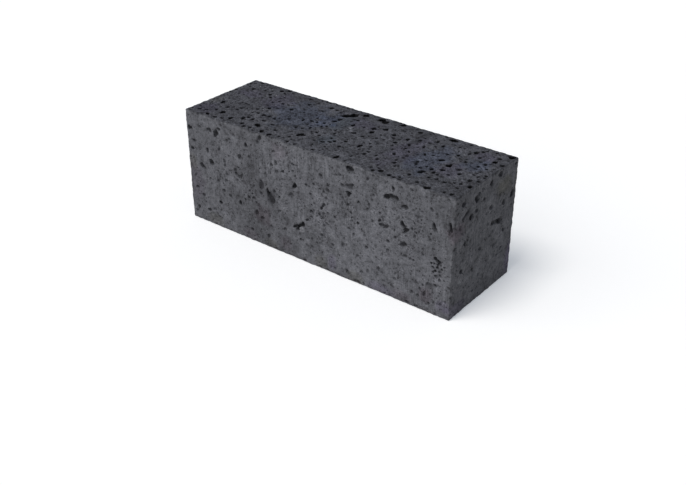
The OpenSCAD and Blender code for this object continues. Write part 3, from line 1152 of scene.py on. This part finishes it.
RIGHT_STAINS = [
    # Painted shade: the whole right end is darkened, so that it looks less lit than the front.
    (SHADE, [(35, 40, 90, 100)]),
    (DIM, [(65, 40, 8, 60), (40, 75, 13, 7), (15, 14, 8, 8)]),
    (OLIVE, [(54, 68, 11, 7), (57, 66, 11, 8), (67.6, 66, 3, 13)]),
    (PINK, [(6, 57, 8, 8), (4, 58, 7, 7)]),
    (LILAC, [(66, 12, 5, 14), (8, 5, 12, 6), (67, 12, 4, 15)]),
    (PALE, [(9.8, 22.8, 2.5, 2.2)]),
    (LIGHT, [(6, 51, 7, 8)]),
]
BACK_STAINS = [
    (DARK, [(60, 50, 26, 16)]),
    (BROWN, [(150, 24, 30, 14)]),
    (VIOLET, [(170, 60, 20, 14)]),
]
LEFT_STAINS = [
    (DARK, [(30, 52, 14, 18)]),
    (BROWN, [(50, 16, 12, 10)]),
]
print("listed", sum(len(patches) for _, patches in TOP_STAINS), "stains of the top")

# %% Lay the stains over the cement
for face, stains in ((FRONT, FRONT_STAINS), (TOP, TOP_STAINS), (RIGHT, RIGHT_STAINS),
                     (BACK, BACK_STAINS), (LEFT, LEFT_STAINS)):
    for tint, patches in stains:
        for patch in patches:
            cement = mix_colours(tree, patch_share(face, *patch), cement, tint, "MULTIPLY")
cement = mix_colours(tree, 1.0, cement, tone, "MULTIPLY")
print("with the stains there are", len(tree.nodes), "nodes")

# %% [markdown]
# ## Pale arrises, a dark lowest edge, and painted shade in the holes
#
# The arrises are painted pale in places, partly as wear from handling and partly as a painted
# highlight. The lowest edge is painted dark, partly as dirt from the ground and partly as a painted
# contact shadow. The second smallest of a point's distances to the mould's faces is its distance
# to the nearest arris. Inside the holes the colour is painted darker the deeper it lies: this is
# painted shade, because the light alone doesn't make them that dark. The depth under the skin sets
# it: soon and strongly on the open top, and later and less on the sides. The flat skin is painted
# a little lighter and its shallow hollows a little darker, which is painted shade as well. A hole
# of the top can reach so near to the back face that its walls would count as the back's, so the
# top's painted shade gets a lead there.

# %% Paint the arrises pale, and the lowest edge dark with shadow and grime
ARRIS_WEAR_AND_HIGHLIGHT, WORN_AND_LIT = 0.5, (1.2, 1.2, 1.19, 1)
PALE_ARRIS_STARTS, PALE_ARRIS_IS_FULL = 2.6 * MM, 0.9 * MM
EDGE_SHADOW_AND_GRIME, DARK_EDGE_TOP, DARK_EDGE_IS_FULL = (0.62, 0.58, 0.57, 1), 3 * MM, 0.4 * MM
DARK_EDGE_LUMPS = 4 * MM
# Both come in patches. The first two numbers are levels of their noise, and the other two the
# shares of the pale arris or the dark edge that stay at those levels.
PALE_ARRIS_PATCHES, DARK_EDGE_PATCHES = (0.42, 0.58, 0.2, 1.0), (0.42, 0.62, 0.25, 1.0)

# Wear and painted highlight: the arrises are painted paler, in patches.
to_arris = maths(tree, "MINIMUM", to_flat, maths(tree, "MAXIMUM", to_end, to_side))
to_arris = maths(tree, "MAXIMUM", to_arris, to_wall)
worn_and_lit = maths(tree, "MULTIPLY", ramp(tree, to_arris, PALE_ARRIS_STARTS, PALE_ARRIS_IS_FULL),
             ramp(tree, blotch, *PALE_ARRIS_PATCHES))
cement = mix_colours(tree, maths(tree, "MULTIPLY", worn_and_lit, ARRIS_WEAR_AND_HIGHLIGHT), cement, WORN_AND_LIT, "MULTIPLY")
# Painted contact shadow and grime: the lowest few millimetres of the brick are painted darker, in
# patches.
dark_edge_noise = cloud(tree, place, DARK_EDGE_LUMPS, detail=3)
edge_shadow_and_grime = maths(tree, "MULTIPLY", ramp(tree, parts.outputs["Z"], DARK_EDGE_TOP, DARK_EDGE_IS_FULL),
              ramp(tree, dark_edge_noise, *DARK_EDGE_PATCHES))
cement = mix_colours(tree, edge_shadow_and_grime, cement, EDGE_SHADOW_AND_GRIME, "MULTIPLY")
print("the grime reaches", round(DARK_EDGE_TOP / MM, 1), "mm up")

# %% Paint shade into the holes and the skin's hollows by their depth
SIDE_HOLE_SHADE, SIDE_FROM, SIDE_TO = 0.37, 0.3 * MM, 2.2 * MM
TOP_HOLE_SHADE, TOP_FROM, TOP_TO = 0.10, 0.2 * MM, 0.8 * MM
BACK_RIM, BACK_RIM_INNER, BACK_LEAD = 5 * MM, 2 * MM, 2.5 * MM
HIGH_SKIN_TONE, HOLLOW_SHADE_TONE, SKIN_ENDS, HOLLOW_SHADE_IS_FULL = 1.06, 0.86, 0.03 * MM, 0.3 * MM

# Painted shade: the holes get darker the deeper they go, soon and strongly on the top.
side_hole_shade = ramp(tree, depth, SIDE_FROM, SIDE_TO, 1.0, SIDE_HOLE_SHADE)
top_hole_shade = ramp(tree, depth, TOP_FROM, TOP_TO, 1.0, TOP_HOLE_SHADE)
back_lead = ramp(tree, to_back, BACK_RIM, BACK_RIM_INNER, 0.0, BACK_LEAD)
in_top_hole = ramp(tree, maths(tree, "ADD", top_lead, back_lead), -BORDER_SOFTNESS, BORDER_SOFTNESS)
hole_shade = add_node(tree, "Mix", data_type="FLOAT")
plug(tree, in_top_hole, hole_shade.inputs["Factor"])
plug(tree, side_hole_shade, hole_shade.inputs["A"])
plug(tree, top_hole_shade, hole_shade.inputs["B"])
cement = mix_colours(tree, 1.0, cement, hole_shade.outputs["Result"], "MULTIPLY")
# Painted shade in the shallow hollows of the skin, with the flat skin painted a little lighter.
skin_hollow_shade = ramp(tree, depth, SKIN_ENDS, HOLLOW_SHADE_IS_FULL, HIGH_SKIN_TONE, HOLLOW_SHADE_TONE)
cement = mix_colours(tree, 1.0, cement, skin_hollow_shade, "MULTIPLY")
print("the deepest parts of the side holes keep", SIDE_HOLE_SHADE, "of their light")

# %% [markdown]
# ## The feel of the skin
#
# Cement is matt, so its roughness is high everywhere, with a little less where the skin lay
# tight against the steel. Its shine is weaker than that of plastic or varnish, so the specular
# level is low. Grains and pin holes also tilt the skin. They are far too small for the mesh, and
# a Bump node tilts the light instead, more on the open top than on the sides.

# %% Set the shader
MATT, TIGHT, MATT_BELOW, TIGHT_ABOVE = 0.95, 0.78, 0.3, 0.7
SHINE, SAND_SIZE, RELIEF_HEIGHT = 0.1, 1.3 * MM, 0.5 * MM
BLOTCH_RELIEF, SAND_RELIEF, FINE_RELIEF, PIN_RELIEF = 1.3, 1.1, 0.5, -0.6
SIDE_RELIEF, TOP_EXTRA = 1.2, 1.1

shader = tree.nodes["Principled BSDF"]
plug(tree, cement, shader.inputs["Base Color"])
plug(tree, ramp(tree, medium, MATT_BELOW, TIGHT_ABOVE, MATT, TIGHT), shader.inputs["Roughness"])
shader.inputs["Specular IOR Level"].default_value = SHINE

sand = cloud(tree, place, SAND_SIZE)
relief = 0.0
for noise, amount in ((blotch, BLOTCH_RELIEF), (sand, SAND_RELIEF), (fine, FINE_RELIEF),
                      (pin_holes, PIN_RELIEF)):
    relief = maths(tree, "MULTIPLY_ADD", noise, amount, relief)
relief = maths(tree, "MULTIPLY", relief, maths(tree, "MULTIPLY_ADD", on_top, TOP_EXTRA, SIDE_RELIEF))
bump = add_node(tree, "Bump")
bump.inputs["Strength"].default_value = 1.0
bump.inputs["Distance"].default_value = RELIEF_HEIGHT
plug(tree, relief, bump.inputs["Height"])
plug(tree, bump.outputs["Normal"], shader.inputs["Normal"])
brick.data.materials.clear()
brick.data.materials.append(concrete)
print("the concrete has", len(tree.nodes), "nodes")

# %% [markdown]
# ## The floor
#
# The brick lies on white paper that runs far out of view. In soft light white paper looks pale
# grey, and a stronger lamp would bleach the brick with it. So the paper glows a little, but only
# for rays that come straight from the camera, off something glossy or through something clear.
# The glow lights nothing, and the paper still takes the brick's shadow.

# %% Lay the paper
PAPER = (0.84, 0.82, 0.79, 1)
PAPER_GLOW = (0.28, 0.30, 0.33, 1)
PAPER_SIZE = 12


def seen_directly(tree):
    """1 for rays from the camera, off something glossy or through glass, and 0 for the others."""
    path = add_node(tree, "LightPath")
    seen = maths(tree, "MAXIMUM", path.outputs["Is Camera Ray"], path.outputs["Is Glossy Ray"])
    return maths(tree, "MAXIMUM", seen, path.outputs["Is Transmission Ray"])


bpy.ops.object.select_all(action="DESELECT")
bpy.ops.mesh.primitive_plane_add(size=PAPER_SIZE, location=(0, 0, low.z))
floor = bpy.context.object
floor.name = "floor"
settle(floor)
floor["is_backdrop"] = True

paper = bpy.data.materials.new("white_paper")
paper.use_nodes = True
tree = paper.node_tree
shader = tree.nodes["Principled BSDF"]
for name, value in (("Base Color", PAPER), ("Roughness", 1), ("Specular IOR Level", 0),
                    ("Emission Color", PAPER_GLOW)):
    shader.inputs[name].default_value = value
plug(tree, seen_directly(tree), shader.inputs["Emission Strength"])
floor.data.materials.append(paper)
print("laid", PAPER_SIZE, "metres of paper")

# %% [markdown]
# ## The room
#
# A pale room gives its light back from all sides, fainter than the lamps and slightly blue. That
# is the world's Background node. The camera sees a second Background in its place, in plain
# white, for wherever the paper ends.

# %% Give the room its own light
AMBIENT, ROOM_LIGHT, WHITE = 0.290, (0.90, 0.96, 1.05, 1), (1, 1, 1, 1)
world = bpy.data.worlds.new("studio")
bpy.context.scene.world = world
world.use_nodes = True
tree = world.node_tree
room = tree.nodes["Background"]
room.inputs["Color"].default_value = ROOM_LIGHT
room.inputs["Strength"].default_value = AMBIENT
white = add_node(tree, "Background")
white.inputs["Color"].default_value = WHITE
choice = add_node(tree, "MixShader")
plug(tree, seen_directly(tree), choice.inputs["Fac"])
plug(tree, room.outputs["Background"], choice.inputs[1])
plug(tree, white.outputs["Background"], choice.inputs[2])
plug(tree, choice.outputs["Shader"], tree.nodes["World Output"].inputs["Surface"])
print("the room gives back light of strength", AMBIENT)

# %% [markdown]
# ## The lamps
#
# Two wide lamps light the brick, as a studio's soft boxes do. One hangs high in front and lights
# the top, and it draws the near shadow behind the brick. The other is lower and much wider, and
# it lights the front and softens that shadow. Area lamps would do it too, but a sun lamp gives
# the same light wherever it stands, so only its direction and its spread have to be chosen.

# %% Hang the lamps
LAMP_COLOUR = (1.0, 0.985, 0.97)


def add_lamp(name, strength, spread_degrees, comes_from):
    """A far, soft lamp. The wider its spread in the sky, the softer its shadow."""
    data = bpy.data.lights.new(name, "SUN")
    data.energy = strength
    data.angle = math.radians(spread_degrees)
    data.color = LAMP_COLOUR
    lamp = bpy.data.objects.new(name, data)
    back = Vector(comes_from).normalized()
    lamp.location = aim + back
    lamp.rotation_euler = (-back).to_track_quat("-Z", "Y").to_euler()
    bpy.context.scene.collection.objects.link(lamp)
    print(f"the {name} stands {math.degrees(math.asin(back.z)):.0f} degrees above the floor")


add_lamp("ceiling_lamp", strength=1.54, spread_degrees=27, comes_from=(-0.144, -0.388, 0.91))
add_lamp("front_lamp", strength=1.62, spread_degrees=83, comes_from=(-0.395, -0.871, 0.291))
bpy.context.scene.view_settings.view_transform = "Standard"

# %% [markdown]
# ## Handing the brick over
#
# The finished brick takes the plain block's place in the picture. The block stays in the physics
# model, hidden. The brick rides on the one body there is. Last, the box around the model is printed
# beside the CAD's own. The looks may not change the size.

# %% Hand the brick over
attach(brick, "root")
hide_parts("brick")

model_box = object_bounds()
for name, box in (("CAD", cad_box), ("model", model_box)):
    print(f"the {name} box in mm:", [[round(value / MM, 2) for value in corner] for corner in box])
